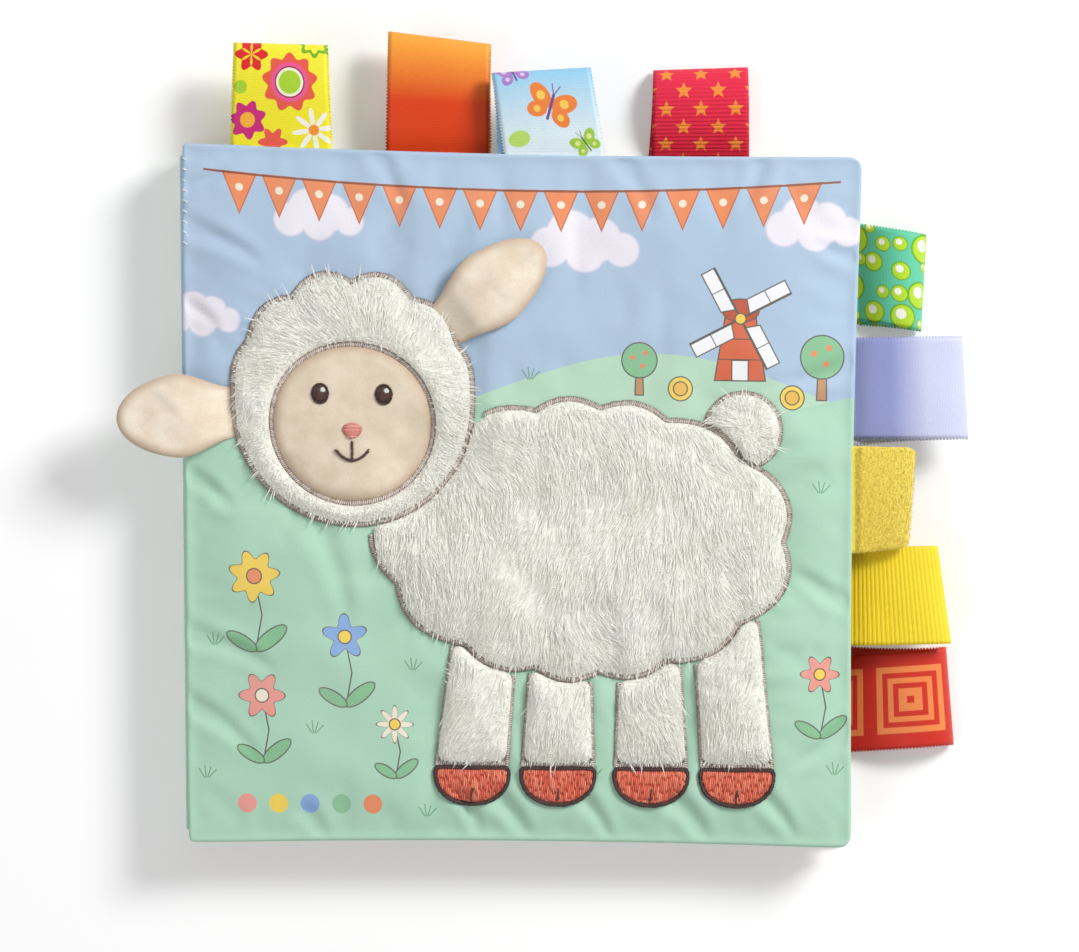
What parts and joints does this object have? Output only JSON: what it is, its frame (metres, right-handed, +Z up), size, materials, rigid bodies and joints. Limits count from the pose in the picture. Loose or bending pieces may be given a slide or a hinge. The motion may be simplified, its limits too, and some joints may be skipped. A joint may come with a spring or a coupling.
{
  "type": "crinkle cloth book",
  "caption": "Soft square cloth book with padded crinkling leaves, ribbon loops in its edges and a plush sheep with loose ears on its cover.",
  "frame": {"origin": "middle of the flat underside of the back cover, on the surface that the closed book lies on", "axes": "+X from the spine to the free edges, +Y to the top edge of the cover, +Z up through the closed leaves"},
  "size_m": [0.1873, 0.1781, 0.019],
  "materials": {
    "beige_velour": "velour",
    "blue_satin": "printed satin ribbon",
    "brown_thread": "embroidery thread",
    "coral_thread": "embroidery thread",
    "dot_satin": "printed satin ribbon",
    "film": "thin crackling film",
    "flower_satin": "printed satin ribbon",
    "lavender_satin": "plain satin ribbon",
    "meadow_print": "printed polyester cloth",
    "orange_satin": "plain satin ribbon",
    "page_print": "printed polyester cloth",
    "pink_thread": "embroidery thread",
    "sky_print": "printed polyester cloth",
    "spine_cloth": "printed polyester cloth",
    "square_satin": "printed satin ribbon",
    "star_grosgrain": "printed grosgrain ribbon",
    "thread": "satin-stitch thread",
    "wadding": "polyester wadding",
    "white_fleece": "short pile fleece",
    "yellow_grosgrain": "plain grosgrain ribbon",
    "yellow_plush": "soft pile ribbon"
  },
  "bodies": {
    "back_cover": {"back_cover_crinkle_film": "film", "back_cover_inner_panel": "page_print", "back_cover_outer_panel": "meadow_print", "back_cover_wadding": "wadding", "spine_cloth_lower": "spine_cloth", "spine_seam_core": "thread"},
    "front_cover": {"body_fleece": "white_fleece", "body_stitch_line": "thread", "face_stitch_line": "thread", "face_velour": "beige_velour", "front_cover_crinkle_film": "film", "front_cover_inner_panel": "page_print", "front_cover_outer_panel": "sky_print", "front_cover_wadding": "wadding", "head_fleece": "white_fleece", "head_stitch_line": "thread", "left_eye": "brown_thread", "leg_1_fleece": "white_fleece", "leg_1_hoof": "coral_thread", "leg_1_stitch_line": "thread", "leg_2_fleece": "white_fleece", "leg_2_hoof": "coral_thread", "leg_2_stitch_line": "thread", "leg_3_fleece": "white_fleece", "leg_3_hoof": "coral_thread", "leg_3_stitch_line": "thread", "leg_4_fleece": "white_fleece", "leg_4_hoof": "coral_thread", "leg_4_stitch_line": "thread", "mouth": "brown_thread", "nose": "pink_thread", "right_eye": "brown_thread", "spine_cloth_upper": "spine_cloth", "tail_fleece": "white_fleece"},
    "butterfly_ribbon": {"butterfly_ribbon": "blue_satin"},
    "dot_ribbon": {"dot_ribbon": "dot_satin"},
    "flower_ribbon": {"flower_ribbon": "flower_satin"},
    "lavender_ribbon": {"lavender_ribbon": "lavender_satin"},
    "left_ear": {"left_ear_backing": "white_fleece", "left_ear_lining": "beige_velour"},
    "middle_leaf": {"middle_leaf_crinkle_film": "film", "middle_leaf_under_panel": "page_print", "middle_leaf_upper_panel": "page_print", "middle_leaf_wadding": "wadding"},
    "orange_ribbon": {"orange_ribbon": "orange_satin"},
    "plush_ribbon": {"plush_ribbon": "yellow_plush"},
    "ribbed_ribbon": {"ribbed_ribbon": "yellow_grosgrain"},
    "right_ear": {"right_ear_backing": "white_fleece", "right_ear_lining": "beige_velour"},
    "square_ribbon": {"square_ribbon": "square_satin"},
    "star_ribbon": {"star_ribbon": "star_grosgrain"}
  },
  "joints": [
    {"name": "middle_leaf_turn", "type": "hinge", "parent": "back_cover", "child": "middle_leaf", "pos_m": [-0.0754, 0, 0.0081], "axis": [0, -1, 0], "range_deg": [0, 180]},
    {"name": "front_cover_turn", "type": "hinge", "parent": "middle_leaf", "child": "front_cover", "pos_m": [-0.0754, 0, 0.0081], "axis": [0, 1, 0], "range_deg": [-180, 0]},
    {"name": "flower_ribbon_flap", "type": "hinge", "parent": "front_cover", "child": "flower_ribbon", "pos_m": [-0.0529, 0.07642, 0.0136], "axis": [1, 0, 0], "range_deg": [-40, 60], "stiffness_Nm_per_rad": 0.001},
    {"name": "orange_ribbon_flap", "type": "hinge", "parent": "middle_leaf", "child": "orange_ribbon", "pos_m": [-0.01843, 0.07578, 0.0081], "axis": [1, 0, 0], "range_deg": [-40, 60], "stiffness_Nm_per_rad": 0.001},
    {"name": "butterfly_ribbon_flap", "type": "hinge", "parent": "front_cover", "child": "butterfly_ribbon", "pos_m": [0.00743, 0.07567, 0.0136], "axis": [1, 0, 0], "range_deg": [-40, 60], "stiffness_Nm_per_rad": 0.001},
    {"name": "star_ribbon_flap", "type": "hinge", "parent": "back_cover", "child": "star_ribbon", "pos_m": [0.03997, 0.07611, 0.00065], "axis": [1, 0, 0], "range_deg": [0, 45], "stiffness_Nm_per_rad": 0.001},
    {"name": "dot_ribbon_flap", "type": "hinge", "parent": "back_cover", "child": "dot_ribbon", "pos_m": [0.0742, 0.04997, 0.00065], "axis": [0, -1, 0], "range_deg": [0, 45], "stiffness_Nm_per_rad": 0.001},
    {"name": "lavender_ribbon_flap", "type": "hinge", "parent": "middle_leaf", "child": "lavender_ribbon", "pos_m": [0.07374, 0.02407, 0.0081], "axis": [0, -1, 0], "range_deg": [-40, 60], "stiffness_Nm_per_rad": 0.001},
    {"name": "plush_ribbon_flap", "type": "hinge", "parent": "front_cover", "child": "plush_ribbon", "pos_m": [0.07353, -0.00061, 0.0136], "axis": [0, -1, 0], "range_deg": [0, 60], "stiffness_Nm_per_rad": 0.001},
    {"name": "ribbed_ribbon_flap", "type": "hinge", "parent": "middle_leaf", "child": "ribbed_ribbon", "pos_m": [0.0737, -0.02193, 0.0081], "axis": [0, -1, 0], "range_deg": [-40, 0], "stiffness_Nm_per_rad": 0.001},
    {"name": "square_ribbon_flap", "type": "hinge", "parent": "back_cover", "child": "square_ribbon", "pos_m": [0.07411, -0.04569, 0.00065], "axis": [0, -1, 0], "range_deg": [0, 45], "stiffness_Nm_per_rad": 0.001},
    {"name": "left_ear_flap", "type": "hinge", "parent": "front_cover", "child": "left_ear", "pos_m": [-0.06547, 0.01753, 0.019], "axis": [-0.0872, 0.9962, 0], "range_deg": [0, 120]},
    {"name": "right_ear_flap", "type": "hinge", "parent": "front_cover", "child": "right_ear", "pos_m": [-0.01511, 0.03838, 0.019], "axis": [0.6428, -0.766, 0], "range_deg": [0, 120]}
  ]
}
